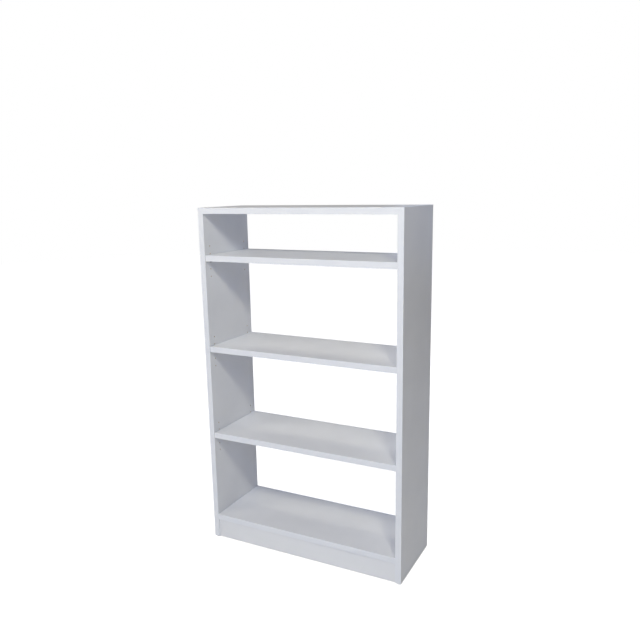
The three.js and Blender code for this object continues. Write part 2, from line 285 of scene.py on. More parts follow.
def chipboard_core():
    """Particleboard core, sawn or bored: wood chips pressed in resin, with no finish.

    It is a warm, speckled tan. The chips are coarse in the middle of the board and fine near its faces.
    """
    colours = bpy.context.scene.bookcase_colours

    def finish(tree, shader, coordinates):
        place = coordinates.outputs["Object"]
        across = add(tree, "ShaderNodeAttribute", attribute_name="across")
        outer = add(
            tree, "ShaderNodeMapRange",
            {"Value": across.outputs["Fac"], "From Min": 0.45, "From Max": 0.7, "To Min": 0.0, "To Max": 1.0},
        )
        flat = add(tree, "ShaderNodeMapping", {"Vector": place, "Scale": (0.6, 0.6, 1.0)})
        layers = []
        for chip in (4.0 * MM, 1.2 * MM):
            cells = add(tree, "ShaderNodeTexVoronoi", {"Vector": flat.outputs["Vector"], "Scale": 1 / chip})
            layers.append(cells.outputs["Color"])
        chips = add(
            tree, "ShaderNodeMix", {0: outer.outputs["Result"], 6: layers[0], 7: layers[1]}, data_type="RGBA"
        )
        shade = add(tree, "ShaderNodeSeparateColor", {"Color": chips.outputs[2]})
        tint = add(
            tree, "ShaderNodeValToRGB", {"Fac": shade.outputs["Red"]},
            stops=[(0.0, colours.chip_dark), (0.35, colours.chip_pale), (0.8, colours.chip_pale)],
        )
        loose = add(
            tree, "ShaderNodeBump", {"Height": shade.outputs["Green"], "Distance": 0.3 * MM, "Strength": 0.6}
        )
        plug(shader, {"Base Color": tint.outputs["Color"], "Normal": loose.outputs["Normal"]})
        plug(shader, {"Roughness": 0.85, "Specular IOR Level": 0.3})

    return material("Particleboard core", finish)


def plated_metal(name, base, roughness, grain_size, grain_depth):
    """A metal with a fine grain that varies its colour, its gloss and its surface together."""

    def finish(tree, shader, coordinates):
        place = coordinates.outputs["Object"]
        grain = add(tree, "ShaderNodeTexNoise", {"Vector": place, "Scale": 1 / grain_size, "Detail": 3.0})
        dull = add(
            tree, "ShaderNodeMapRange",
            {"Value": grain.outputs["Fac"], "To Min": roughness * 0.75, "To Max": roughness * 1.25},
        )
        worn = add(
            tree, "ShaderNodeValToRGB", {"Fac": grain.outputs["Fac"]},
            stops=[(0.3, shaded(base, 0.85)), (0.6, base)],
        )
        bump = add(
            tree, "ShaderNodeBump", {"Height": grain.outputs["Fac"], "Distance": grain_depth, "Strength": 0.5}
        )
        plug(shader, {"Base Color": worn.outputs["Color"], "Roughness": dull.outputs["Result"]})
        plug(shader, {"Normal": bump.outputs["Normal"], "Metallic": 1.0})

    return material(name, finish)


def nickel_plate():
    """Pressed steel, barrel-plated in nickel: a warm, fairly bright grey with soft reflections."""
    base = bpy.context.scene.bookcase_colours.nickel
    return plated_metal("Nickel-plated steel", base, 0.24, 1.5 * MM, 0.01 * MM)


def cast_zinc():
    """Zinc as it leaves the die: a dull blue-grey with a grainy skin that spreads its highlights."""
    base = bpy.context.scene.bookcase_colours.zinc
    return plated_metal("Die-cast zinc", base, 0.45, 0.6 * MM, 0.05 * MM)


def zinc_plate():
    """Turned steel, plated in zinc: a pale, faintly yellow grey, brighter than the casting."""
    base = bpy.context.scene.bookcase_colours.plated
    return plated_metal("Zinc-plated steel", base, 0.32, 1.0 * MM, 0.02 * MM)


def beech():
    """Beech, turned and fluted, with no finish: pale pinkish tan, with fine rays as short darker flecks."""
    colours = bpy.context.scene.bookcase_colours

    def finish(tree, shader, coordinates):
        # A dowel lies along X, and so does its grain.
        grain = add(
            tree, "ShaderNodeMapping",
            {"Vector": coordinates.outputs["Object"], "Scale": (60.0, 900.0, 900.0)},
        )
        rays = add(
            tree, "ShaderNodeTexNoise", {"Vector": grain.outputs["Vector"], "Scale": 1.0, "Detail": 3.0}
        )
        tint = add(
            tree, "ShaderNodeValToRGB", {"Fac": rays.outputs["Fac"]},
            stops=[(0.38, colours.beech_dark), (0.55, colours.beech_pale)],
        )
        bump = add(
            tree, "ShaderNodeBump", {"Height": rays.outputs["Fac"], "Distance": 0.05 * MM, "Strength": 0.5}
        )
        plug(shader, {"Base Color": tint.outputs["Color"], "Normal": bump.outputs["Normal"]})
        plug(shader, {"Roughness": 0.65})

    return material("Beech", finish)


def white_nylon():
    """Moulded nylon: a warm, faintly translucent white with a spark-eroded mould grain."""
    colours = bpy.context.scene.bookcase_colours

    def finish(tree, shader, coordinates):
        grain = add(
            tree, "ShaderNodeTexNoise",
            {"Vector": coordinates.outputs["Object"], "Scale": 1 / (0.8 * MM), "Detail": 2.0},
        )
        tint = add(
            tree, "ShaderNodeValToRGB", {"Fac": grain.outputs["Fac"]},
            stops=[(0.3, shaded(colours.nylon, 0.94)), (0.6, colours.nylon)],
        )
        bump = add(
            tree, "ShaderNodeBump", {"Height": grain.outputs["Fac"], "Distance": 0.02 * MM, "Strength": 0.5}
        )
        plug(shader, {"Base Color": tint.outputs["Color"], "Normal": bump.outputs["Normal"]})
        plug(shader, {"Roughness": 0.42, "IOR": 1.53, "Subsurface Weight": 0.1, "Subsurface Scale": 2 * MM})

    return material("White moulded nylon", finish)


# ---- Making meshes ----

Bore = namedtuple("Bore", "mouth into radius depth")
LAID_ALONG_X = Matrix.Rotation(math.pi / 2, 4, "Y")


def block(low, high):
    """A plain block between two corners, as a bmesh."""
    low, high = Vector(low), Vector(high)
    shape = bmesh.new()
    place = Matrix.Translation((low + high) / 2) @ Matrix.Diagonal((*(high - low), 1))
    bmesh.ops.create_cube(shape, size=1, matrix=place)
    return shape


def prism(outline, depth):
    """A closed outline of (X, Y) points drawn at Z 0 and grown by depth, as a bmesh."""
    shape = bmesh.new()
    base = shape.faces.new([shape.verts.new((x, y, 0)) for x, y in outline])
    grown = bmesh.ops.extrude_face_region(shape, geom=[base])["geom"]
    far = [item for item in grown if isinstance(item, bmesh.types.BMVert)]
    bmesh.ops.translate(shape, verts=far, vec=(0, 0, depth))
    return shape


def turned(profile, steps):
    """A shape turned about Z from (radius, height) pairs that start and end on the axis, as a bmesh."""
    shape = bmesh.new()
    rings = []
    for radius, height in profile:
        if radius == 0:
            rings.append([shape.verts.new((0, 0, height))])
            continue
        angles = [2 * math.pi * i / steps for i in range(steps)]
        rings.append([shape.verts.new((radius * math.cos(a), radius * math.sin(a), height)) for a in angles])
    for below, above in zip(rings, rings[1:]):
        for i in range(steps):
            j = (i + 1) % steps
            corners = [ring[k % len(ring)] for ring, k in ((below, i), (below, j), (above, j), (above, i))]
            shape.faces.new(list(dict.fromkeys(corners)))
    return shape


def bevel(shape, edges, radius, steps):
    """Round some edges of a bmesh, or chamfer them where steps is 1."""
    bmesh.ops.bevel(
        shape, geom=list(edges), offset=radius, segments=steps, profile=0.5, affect="EDGES",
        clamp_overlap=True,
    )


def as_object(name, shape, materials=(), smooth_under=None):
    """Turn a bmesh into an object with its faces pointing out."""
    bmesh.ops.recalc_face_normals(shape, faces=shape.faces)
    mesh = bpy.data.meshes.new(name)
    shape.to_mesh(mesh)
    shape.free()
    for surface in materials:
        mesh.materials.append(surface)
    if smooth_under is not None:
        mesh.shade_smooth()
        mesh.set_sharp_from_angle(angle=math.radians(smooth_under))
    made = bpy.data.objects.new(name, mesh)
    bpy.context.collection.objects.link(made)
    return made


def settle(made):
    """Replace an object's mesh by what its modifiers make of it, and remove the modifiers."""
    evaluated = made.evaluated_get(bpy.context.evaluated_depsgraph_get())
    settled = bpy.data.meshes.new_from_object(evaluated)
    made.modifiers.clear()
    old, made.data = made.data, settled
    settled.name = old.name
    bpy.data.meshes.remove(old)
    return made


def combine(made, tool, operation):
    """Cut a closed object out of another, or join it on, and remove it."""
    step = made.modifiers.new(operation.title(), "BOOLEAN")
    step.operation, step.object, step.solver, step.material_mode = operation, tool, "EXACT", "TRANSFER"
    settle(made)
    bpy.data.objects.remove(tool)
    return made


def with_nodes(name, mesh, tree, **values):
    """An object whose mesh is made by a Geometry Nodes tree, with the tree's named inputs set."""
    made = bpy.data.objects.new(name, mesh)
    bpy.context.collection.objects.link(made)
    step = made.modifiers.new(tree.name, "NODES")
    step.node_group = tree
    sockets = {item.name: item.identifier for item in tree.interface.items_tree if item.in_out == "INPUT"}
    for key, value in values.items():
        step[sockets[key]] = value
    settle(made)
    # A tree that draws its own mesh leaves an empty first slot.
    surface = values["Surface"]
    made.data.materials.clear()
    made.data.materials.append(surface)
    made.data.polygons.foreach_set("material_index", [0] * len(made.data.polygons))
    return made


def new_tree(name, **inputs):
    """A Geometry Nodes tree with a geometry in and out and other inputs by name and kind, and its inputs."""
    tree = bpy.data.node_groups.new(name, "GeometryNodeTree")
    tree.interface.new_socket("Geometry", in_out="OUTPUT", socket_type="NodeSocketGeometry")
    tree.interface.new_socket("Geometry", in_out="INPUT", socket_type="NodeSocketGeometry")
    for key, kind in inputs.items():
        tree.interface.new_socket(key, in_out="INPUT", socket_type=f"NodeSocket{kind}")
    return tree, add(tree, "NodeGroupInput").outputs


def realized(tree, geometry, surface):
    """End a tree: real geometry instead of instances, in one material."""
    real = add(tree, "GeometryNodeRealizeInstances", {"Geometry": geometry})
    painted = add(
        tree, "GeometryNodeSetMaterial", {"Geometry": real.outputs["Geometry"], "Material": surface}
    )
    add(tree, "NodeGroupOutput", {"Geometry": painted.outputs["Geometry"]})


def drill_bits():
    """The tree that puts a round bit on every point, along the point's own direction and to its own size."""
    made = bpy.data.node_groups.get("Drill bits")
    if made:
        return made
    tree, inputs = new_tree("Drill bits", Steps="Int", Surface="Material")
    bit = add(tree, "GeometryNodeMeshCylinder", {"Vertices": inputs["Steps"], "Radius": 1.0, "Depth": 1.0})
    raised = add(tree, "GeometryNodeTransform", {"Geometry": bit.outputs["Mesh"], "Translation": (0, 0, 0.5)})
    into = add(tree, "GeometryNodeInputNamedAttribute", {"Name": "into"}, data_type="FLOAT_VECTOR")
    size = add(tree, "GeometryNodeInputNamedAttribute", {"Name": "size"}, data_type="FLOAT_VECTOR")
    turn = add(tree, "FunctionNodeAlignRotationToVector", {"Vector": into.outputs["Attribute"]}, axis="Z")
    bits = add(
        tree, "GeometryNodeInstanceOnPoints",
        {
            "Points": inputs["Geometry"],
            "Instance": raised.outputs["Geometry"],
            "Rotation": turn.outputs["Rotation"],
            "Scale": size.outputs["Attribute"],
        },
    )
    realized(tree, bits.outputs["Instances"], inputs["Surface"])
    return tree


def drill(board, bores):
    """Bore round holes into a board. Their walls show its core, and each bit starts clear of the board."""
    start = 1 * MM
    mesh = bpy.data.meshes.new("bores")
    mesh.from_pydata([Vector(b.mouth) - Vector(b.into) * start for b in bores], [], [])
    directions = mesh.attributes.new("into", "FLOAT_VECTOR", "POINT")
    sizes = mesh.attributes.new("size", "FLOAT_VECTOR", "POINT")
    for i, b in enumerate(bores):
        directions.data[i].vector = b.into
        sizes.data[i].vector = (b.radius, b.radius, b.depth + start)
    steps = bpy.context.scene.bookcase_sizes.round_steps
    bits = with_nodes("drill_bits", mesh, drill_bits(), Steps=steps, Surface=chipboard_core())
    return combine(board, bits, "DIFFERENCE")


def finished(made, node):
    """Put a finished piece in the place of its node, on the node's body."""
    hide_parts(node)
    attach(made, BODY_OF[node])
    return made


def named(prefix):
    """The nodes whose names start so."""
    return [node for node in NODES if node.startswith(prefix)]


def middle(node):
    """The middle of a node's box."""
    low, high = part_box(node)
    return (low + high) / 2


def side_of(node):
    """-1 for a node on the left, 1 for one on the right."""
    return -1 if "_left" in node else 1


def panel_on(side):
    """The node of the side panel on that side."""
    return "side_panel_right" if side > 0 else "side_panel_left"


def mouth_on(side):
    """Where the side panel's inner face, and so the mouth of every hole in it, stands in X."""
    low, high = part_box(panel_on(side))
    return low.x if side > 0 else high.x


def put(made, place, side):
    """Move a fitting, drawn for the left panel at the origin, to its place, turned round on the right."""
    turn = Matrix.Rotation(math.pi, 4, "Z") if side > 0 else Matrix.Identity(4)
    made.data.transform(Matrix.Translation(place) @ turn)


# ---- Boards ----


def faced_board(name, node, bores=()):
    """A board with melamine on its two wide faces and bare core on its edges and in its bores."""
    low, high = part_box(node)
    thin = min(range(3), key=lambda axis: high[axis] - low[axis])
    shape = block(low, high)
    bevel(shape, shape.edges, bpy.context.scene.bookcase_sizes.arris, 1)
    shape.normal_update()
    for face in shape.faces:
        # The arrises of the wide faces, at 45 degrees to them, have the paper on them too.
        face.material_index = 0 if abs(face.normal[thin]) > 0.5 else 1
    board = as_object(name, shape, [melamine_face(), chipboard_core()])
    if bores:
        drill(board, bores)
    # How far each point is from the board's middle plane, from 0 there to 1 on a face.
    across = board.data.attributes.new("across", "FLOAT", "POINT")
    half = (high[thin] - low[thin]) / 2
    distance = [abs(v.co[thin] - low[thin] - half) / half for v in board.data.vertices]
    across.data.foreach_set("value", distance)
    return finished(board, node)


UP = Vector((0, 0, 1))
SUPPORT_RISE = 3 * MM  # a support's ledge above its peg
# Radius and depth of each kind of bore.
DOWEL_BORE = (4 * MM, 15.2 * MM)  # in both boards
BOLT_BORE = (2.5 * MM, 12 * MM)  # in a side panel
BOLT_WAY = (4 * MM, 34 * MM)  # in the end of a fixed board
CAM_BORE = (7.5 * MM, 17.7 * MM)
GLIDE_BORE = (3.2 * MM, 12.2 * MM)


def side_panel_bores(name):
    """The bores in a side panel: support holes, and the holes for bolts, dowels and glide pegs."""
    sizes = bpy.context.scene.bookcase_sizes
    side = SIDES[name]
    inner, underside = mouth_on(side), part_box(panel_on(side))[0].z
    outwards = Vector((side, 0, 0))

    def inner_face(node, radius, depth):
        centre = middle(node)
        return Bore((inner, centre.y, centre.z), outwards, radius, depth)

    bores = []
    for support in [node for node in named("support_") if side_of(node) == side]:
        centre, top = middle(support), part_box(support)[1].z
        for i in range(sizes.holes_in_group):
            height = top - SUPPORT_RISE + (i - (sizes.holes_in_group - 1) / 2) * sizes.hole_pitch
            bores.append(Bore((inner, centre.y, height), outwards, sizes.hole_radius, sizes.hole_depth))
    bores += [inner_face(node, *BOLT_BORE) for node in named("cam_bolt_") if side_of(node) == side]
    bores += [inner_face(node, *DOWEL_BORE) for node in named("dowel_") if side_of(node) == side]
    for glide in named(f"glide_{name}"):
        centre = middle(glide)
        bores.append(Bore((centre.x, centre.y, underside), UP, *GLIDE_BORE))
    return bores


def fixed_board_bores(board_name):
    """The bores in the top, base or plinth: cam holes from below, and end holes for bolts and dowels."""
    node = f"{board_name}_board" if board_name == "plinth" else f"{board_name}_panel"
    low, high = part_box(node)

    def end(fitting, radius, depth):
        centre, side = middle(fitting), side_of(fitting)
        face = high.x if side > 0 else low.x
        return Bore((face, centre.y, centre.z), Vector((-side, 0, 0)), radius, depth)

    bores = [end(dowel, *DOWEL_BORE) for dowel in named(f"dowel_{board_name}")]
    bores += [end(bolt, *BOLT_WAY) for bolt in named(f"cam_bolt_{board_name}")]
    for cam in named(f"cam_{board_name}"):
        centre = middle(cam)
        bores.append(Bore((centre.x, centre.y, low.z), UP, *CAM_BORE))
    return bores


# ---- Edge bands ----


def lay_along(band):
    """Give a band a map in metres, with U along each strip and V across it."""
    layer = band.data.uv_layers.new(name="Band")
    for face in band.data.polygons:
        normal = face.normal
        along, across = (0, 2) if abs(normal.y) > abs(normal.x) else (1, 2)
        if "side" in band.name:
            along, across = (1, 0) if abs(normal.z) > 0.7 else (2, 0)
        for loop in face.loop_indices:
            point = band.data.vertices[band.data.loops[loop].vertex_index].co
            layer.data[loop].uv = (point[along], point[across])
    return band


def rounded_band(name, node, shape, is_outer):
    """A band from its square shape, with the edges that is_outer picks rounded."""
    sizes = bpy.context.scene.bookcase_sizes
    bmesh.ops.recalc_face_normals(shape, faces=shape.faces)
    bevel(shape, [edge for edge in shape.edges if is_outer(edge)], sizes.band_radius, sizes.band_steps)
    return finished(lay_along(as_object(name, shape, [edge_band()])), node)


def on_plane(edge, axis, value):
    """Whether an edge lies in the plane across an axis at that value."""
    return all(abs(v.co[axis] - value) < 0.01 * MM for v in edge.verts)


def side_band(name):
    """One strip over the front, top and back edges of a side panel."""
    node = f"edge_band_side_{name}"
    low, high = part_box(node)
    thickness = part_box(f"side_panel_{name}")[0].y - low.y
    inner = (low.y + thickness, high.y - thickness, high.z - thickness)
    outline = [
        (low.y, low.z), (inner[0], low.z), (inner[0], inner[2]), (inner[1], inner[2]),
        (inner[1], low.z), (high.y, low.z), (high.y, high.z), (low.y, high.z),
    ]
    shape = prism(outline, high.x - low.x)
    # The outline is in Y and Z, and prism drew it in X and Y.
    upright = Matrix(((0, 0, 1, low.x), (1, 0, 0, 0), (0, 1, 0, 0), (0, 0, 0, 1)))
    bmesh.ops.transform(shape, verts=shape.verts, matrix=upright)

    def is_outer(edge):
        on_side = on_plane(edge, 0, low.x) or on_plane(edge, 0, high.x)
        on_rim = on_plane(edge, 1, low.y) or on_plane(edge, 1, high.y) or on_plane(edge, 2, high.z)
        return on_side and on_rim

    return rounded_band(f"side_band_{name}", node, shape, is_outer)


def fixed_board_band(board_name, end):
    """A straight strip on the front or back edge of the top or base."""
    node = f"edge_band_{board_name}_{end}"
    low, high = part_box(node)
    outside = low.y if end == "front" else high.y

    def is_outer(edge):
        long_edge = abs(edge.verts[0].co.x - edge.verts[1].co.x) > 1 * MM
        return long_edge and on_plane(edge, 1, outside)

    return rounded_band(f"{board_name}_band_{end}", node, block(low, high), is_outer)


def shelf_band(name):
    """One band round all four edges of a loose shelf."""
    node = f"edge_band_shelf_{name}"
    low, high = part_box(node)
    inner_low, inner_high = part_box(f"shelf_{name}")
    shape = bmesh.new()
    rings = []
    for z in (low.z, high.z):
        for a, b in ((low, high), (inner_low, inner_high)):
            corners = ((a.x, a.y), (b.x, a.y), (b.x, b.y), (a.x, b.y))
            rings.append([shape.verts.new((x, y, z)) for x, y in corners])
    # The rings are outer and inner below, then outer and inner above.
    for one, two in ((0, 1), (2, 3), (0, 2), (1, 3)):
        for i in range(4):
            j = (i + 1) % 4
            shape.faces.new((rings[one][i], rings[one][j], rings[two][j], rings[two][i]))

    def is_outer(edge):
        level = on_plane(edge, 2, low.z) or on_plane(edge, 2, high.z)
        rim = any(on_plane(edge, axis, corner[axis]) for axis in (0, 1) for corner in (low, high))
        return level and rim

    return rounded_band(f"shelf_band_{name}", node, shape, is_outer)


# ---- Fittings ----


CAST_STEPS = 48  # facets round a cam or a glide
ROD_COLUMNS, ROD_ROWS = 84, 60  # facets round and along a bolt's thread or a dowel
CHAMFER_LENGTH, CHAMFER_DEPTH = 1 * MM, 0.6 * MM  # at both ends of such a rod


def support(node):
    """A pressed shelf support: a flat ledge on a curved gusset, and a peg with a rounded tip."""
    sizes = bpy.context.scene.bookcase_sizes
    low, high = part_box(node)
    side = side_of(node)
    mouth = mouth_on(side)
    axis = Vector((mouth, (low.y + high.y) / 2, high.z - SUPPORT_RISE))
    # Its own frame has the hole's mouth at the origin and the bay towards +X.
    reach = (mouth - low.x) if side > 0 else (high.x - mouth)
    peg = (high.x - mouth) if side > 0 else (mouth - low.x)
    drop, width = axis.z - low.z, high.y - low.y
    gap, ledge, rounding = 0.2 * MM, 2 * MM, 0.5 * MM
    outline = [(gap, -drop), (2 * gap, -drop)]
    start, corner = Vector((2 * gap, -drop)), Vector((reach, -drop))
    end = Vector((reach, SUPPORT_RISE - ledge))
    curve_steps = 10
    for i in range(1, curve_steps + 1):
        t = i / curve_steps
        outline.append(tuple((1 - t) ** 2 * start + 2 * t * (1 - t) * corner + t**2 * end))
    outline += [(reach, SUPPORT_RISE), (gap, SUPPORT_RISE)]
    gusset = prism(outline, width)
    bmesh.ops.transform(gusset, verts=gusset.verts, matrix=Matrix.Rotation(math.pi / 2, 4, "X"))
    bmesh.ops.translate(gusset, verts=gusset.verts, vec=(0, width / 2, 0))
    gusset.normal_update()
    rim = [edge for edge in gusset.edges if edge.calc_face_angle(0) > math.radians(60)]
    bevel(gusset, rim, rounding, 3)
    body = as_object(f"shelf_{node}", gusset, [nickel_plate()], smooth_under=35)
    radius = sizes.hole_radius - gap
    waist = radius - 0.25 * MM
    shoulder = (radius - 0.3 * MM, 0.4 * MM - peg)
    rounded_tip = [(0, -peg), (radius - 1 * MM, -peg), shoulder, (radius, 1.1 * MM - peg)]
    groove = [(radius, -2.6 * MM), (waist, -2.4 * MM), (waist, -1.8 * MM), (radius, -1.6 * MM)]
    rod = turned([*rounded_tip, *groove, (radius, 2 * gap), (0, 2 * gap)], sizes.round_steps)
    bmesh.ops.transform(rod, verts=rod.verts, matrix=LAID_ALONG_X)
    combine(body, as_object("peg", rod, [nickel_plate()], smooth_under=35), "UNION")
    put(body, axis, side)
    return finished(body, node)


def cam(node):
    """A cam: a cast drum with a cross slot in its face, open inside for the bolt's head."""
    low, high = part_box(node)
    centre = (low + high) / 2
    radius, height = (high.x - low.x) / 2, high.z - low.z
    dish, rim, edge, over = 0.3 * MM, radius - 1.9 * MM, 0.4 * MM, 1 * MM
    face = [(0, dish), (rim - dish, dish), (rim, 0), (radius - edge, 0), (radius, edge)]
    wall = [(radius, height - 0.5 * MM), (radius - 0.5 * MM, height), (0, height)]
    made = as_object(f"cast_{node}", turned(face + wall, CAST_STEPS), [cast_zinc()], smooth_under=35)
    bolt_height = middle(node.replace("cam_", "cam_bolt_")).z - low.z
    head, neck = 3.7 * MM, 2.1 * MM  # half the widths that the bolt's head and neck need
    bottom, top = bolt_height - head, bolt_height + head
    arm, slot, depth = 4.5 * MM, 0.9 * MM, 2.5 * MM  # half the cross's length and width, and its depth
    cuts = [
        ((-5 * MM, -head, bottom), (1 * MM, head, top)),
        ((-radius - over, -neck, bottom), (-4 * MM, neck, top)),
        ((-arm, -slot, -over), (arm, slot, depth)),
        ((-slot, -arm, -over), (slot, arm, depth)),
    ]
    for a, b in cuts:
        combine(made, as_object("cut", block(a, b), [cast_zinc()]), "DIFFERENCE")
    put(made, (centre.x, centre.y, low.z), side_of(node))
    return finished(made, node)


def wave_tree(name, lengthwise):
    """The tree that waves a rod's surface in and out: flutes if lengthwise, else a thread round it."""
    made = bpy.data.node_groups.get(name)
    if made:
        return made
    tree, inputs = new_tree(
        name, Radius="Float", Length="Float", Depth="Float", Pitch="Float", Flutes="Float", Surface="Material"
    )
    rod = add(
        tree, "GeometryNodeMeshCylinder",
        {
            "Vertices": ROD_COLUMNS, "Side Segments": ROD_ROWS, "Fill Segments": 1,
            "Radius": inputs["Radius"], "Depth": inputs["Length"],
        },
    )
    place = add(tree, "GeometryNodeInputPosition").outputs["Position"]
    parts = add(tree, "ShaderNodeSeparateXYZ", {"Vector": place})
    angle = add(tree, "ShaderNodeMath", {0: parts.outputs["Y"], 1: parts.outputs["X"]}, operation="ARCTAN2")
    if lengthwise:
        phase = add(tree, "ShaderNodeMath", {0: angle.outputs[0], 1: inputs["Flutes"]}, operation="MULTIPLY")
    else:
        rise = add(tree, "ShaderNodeMath", {0: parts.outputs["Z"], 1: inputs["Pitch"]}, operation="DIVIDE")
        turns = add(tree, "ShaderNodeMath", {0: rise.outputs[0], 1: 2 * math.pi}, operation="MULTIPLY")
        phase = add(tree, "ShaderNodeMath", {0: turns.outputs[0], 1: angle.outputs[0]}, operation="SUBTRACT")
    wave = add(tree, "ShaderNodeMath", {0: phase.outputs[0]}, operation="COSINE")
    # The rod's radius is that of the crests, so the wave only cuts in, and both ends are chamfered.
    dip = add(tree, "ShaderNodeMath", {0: wave.outputs[0], 1: -0.5, 2: 0.5}, operation="MULTIPLY_ADD")
    run = add(tree, "ShaderNodeMath", {0: parts.outputs["Z"]}, operation="ABSOLUTE")
    half = add(tree, "ShaderNodeMath", {0: inputs["Length"], 1: 0.5}, operation="MULTIPLY")
    left = add(tree, "ShaderNodeMath", {0: half.outputs[0], 1: run.outputs[0]}, operation="SUBTRACT")
    taper = add(
        tree, "ShaderNodeMapRange",
        {
            "Value": left.outputs[0], "From Min": 0.0, "From Max": CHAMFER_LENGTH,
            "To Min": -1.0, "To Max": 0.0,
        },
    )
    cut = add(tree, "ShaderNodeMath", {0: dip.outputs[0], 1: inputs["Depth"]}, operation="MULTIPLY")
    chamfer = add(
        tree, "ShaderNodeMath", {0: taper.outputs["Result"], 1: CHAMFER_DEPTH}, operation="MULTIPLY"
    )
    inward = add(tree, "ShaderNodeMath", {0: chamfer.outputs[0], 1: cut.outputs[0]}, operation="SUBTRACT")
    flat = add(tree, "ShaderNodeCombineXYZ", {"X": parts.outputs["X"], "Y": parts.outputs["Y"]})
    outward = add(tree, "ShaderNodeVectorMath", {0: flat.outputs["Vector"]}, operation="NORMALIZE")
    offset = add(
        tree, "ShaderNodeVectorMath",
        {0: outward.outputs["Vector"], "Scale": inward.outputs[0]}, operation="SCALE",
    )
    waved = add(
        tree, "GeometryNodeSetPosition",
        {"Geometry": rod.outputs["Mesh"], "Offset": offset.outputs["Vector"]},
    )
    realized(tree, waved.outputs["Geometry"], inputs["Surface"])
    return tree


def cam_bolt(node):
    """A cam bolt: a coarse thread, a collar, a shank, a thin neck and the head that the cam grips."""
    sizes = bpy.context.scene.bookcase_sizes
    low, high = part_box(node)
    side = side_of(node)
    centre = (low + high) / 2
    mouth = mouth_on(side)
    thread = (high.x - mouth) if side > 0 else (mouth - low.x)
    # Millimetres from the axis, and from the panel's face towards the cam.
    collar = [(0, -1), (1.8, -1), (2.2, 0.2), (3.6, 0.2), (3.6, 1.2), (2.4, 1.5)]
    stem = [(2.2, 2.2), (2.2, 24.6), (1.5, 26), (1.5, 29.4)]
    head = [(2.0, 29.6), (3.0, 29.6), (3.1, 30), (3.1, 31.8), (2.4, 32.6), (0, 32.6)]
    shank = turned([(r * MM, h * MM) for r, h in collar + stem + head], sizes.round_steps)
    made = as_object(f"plated_{node}", shank, [zinc_plate()], smooth_under=35)
    screw = with_nodes(
        "thread", bpy.data.meshes.new("thread"), wave_tree("Thread", lengthwise=False), Radius=2.2 * MM,
        Length=thread, Depth=0.55 * MM, Pitch=sizes.thread_pitch, Surface=zinc_plate(),
    )
    overlap = 0.01 * MM
    screw.data.transform(Matrix.Translation((0, 0, -thread / 2 + overlap)))
    combine(made, screw, "UNION")
    made.data.transform(LAID_ALONG_X)
    put(made, (mouth, centre.y, centre.z), side)
    return finished(made, node)


def dowel(node):
    """A fluted beech dowel with chamfered ends."""
    low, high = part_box(node)
    flutes = float(bpy.context.scene.bookcase_sizes.flutes)
    made = with_nodes(
        f"beech_{node}", bpy.data.meshes.new(node), wave_tree("Flutes", lengthwise=True),
        Radius=(high.z - low.z) / 2, Length=high.x - low.x, Depth=0.35 * MM, Flutes=flutes, Surface=beech(),
    )
    made.data.transform(Matrix.Translation((low + high) / 2) @ LAID_ALONG_X)
    made.data.shade_smooth()
    made.data.set_sharp_from_angle(angle=math.radians(40))
    return finished(made, node)


def glide(node):
    """A moulded floor glide: a domed disc on a ribbed peg."""
    low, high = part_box(node)
    centre = (low + high) / 2
    radius, top = (high.x - low.x) / 2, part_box(panel_on(side_of(node)))[0].z
    crown, brim, edge, peg, chamfer = 4 * MM, 0.8 * MM, 0.2 * MM, 3 * MM, 1.2 * MM
    flat, groove = radius - crown, peg - 0.5 * MM
    dome_steps, ribs, rib_pitch = 9, 3, 3 * MM
    profile = [(0, 0), (flat, 0)]
    for i in range(1, dome_steps):
        angle = math.pi / 2 * i / dome_steps
        profile.append((flat + crown * math.sin(angle), (top - brim) * (1 - math.cos(angle))))
    profile += [(radius, top - brim), (radius, top - edge), (radius - edge, top), (peg, top)]
    for i in range(ribs):
        start = top + 2 * MM + i * rib_pitch
        profile += [(groove, start), (groove, start + 1 * MM), (peg, start + 1.6 * MM)]
    profile += [(peg, high.z - chamfer), (peg - chamfer, high.z), (0, high.z)]
    shape = turned(profile, CAST_STEPS)
    bmesh.ops.translate(shape, verts=shape.verts, vec=(centre.x, centre.y, 0))
    return finished(as_object(f"floor_{node}", shape, [white_nylon()], smooth_under=35), node)


# ---- Studio ----

Softbox = namedtuple("Softbox", "name place size power")
AIM = (0, 0, 0.8)
SENSOR_WIDTH = 36  # in millimetres
FLOOR_RADIUS = 14.0
# Power is in watts of red, green and blue. The two near lights are small, so each shelf throws two clear
# shadows on the side panels. The rest are softer. The last two brighten the left side and the back.
SOFTBOXES = [
    Softbox("near_key", (1.6, -1.95, 2.75), (0.35, 0.35), (28.4, 27.6, 24.0)),
    Softbox("near_left", (-0.6, -1.95, 2.75), (0.35, 0.35), (9.4, 8.2, 5.2)),
    Softbox("far_key", (0.6, -5.9, 4.6), (0.9, 0.5), (95.0, 110.0, 145.0)),
    Softbox("left_fill", (-3.0, -3.2, 2.4), (2.0, 1.6), (31.5, 31.0, 26.5)),
    Softbox("left_high", (-2.6, -2.4, 3.8), (1.4, 1.2), (12.0, 10.5, 9.8)),
    Softbox("right_side", (4.2, 0.0, 1.4), (2.5, 2.5), (12.9, 12.5, 10.4)),
    Softbox("back_left", (-1.2, 1.42, 3.07), (0.4, 0.4), (7.0, 6.8, 5.8)),
    Softbox("back_middle", (0.3, 1.42, 3.07), (0.4, 0.4), (7.4, 7.1, 6.2)),
    Softbox("back_wide", (0.3, 3.2, 1.5), (2.4, 1.2), (5.8, 7.4, 12.0)),
    Softbox("left_side", (-4.2, 0.0, 1.2), (2.5, 2.0), (20.0, 19.6, 19.0)),
    Softbox("back_edges", (0.0, 4.6, 1.0), (0.8, 1.6), (9.0, 8.2, 6.2)),
]
AMBIENT = (0.027, 0.029, 0.062)


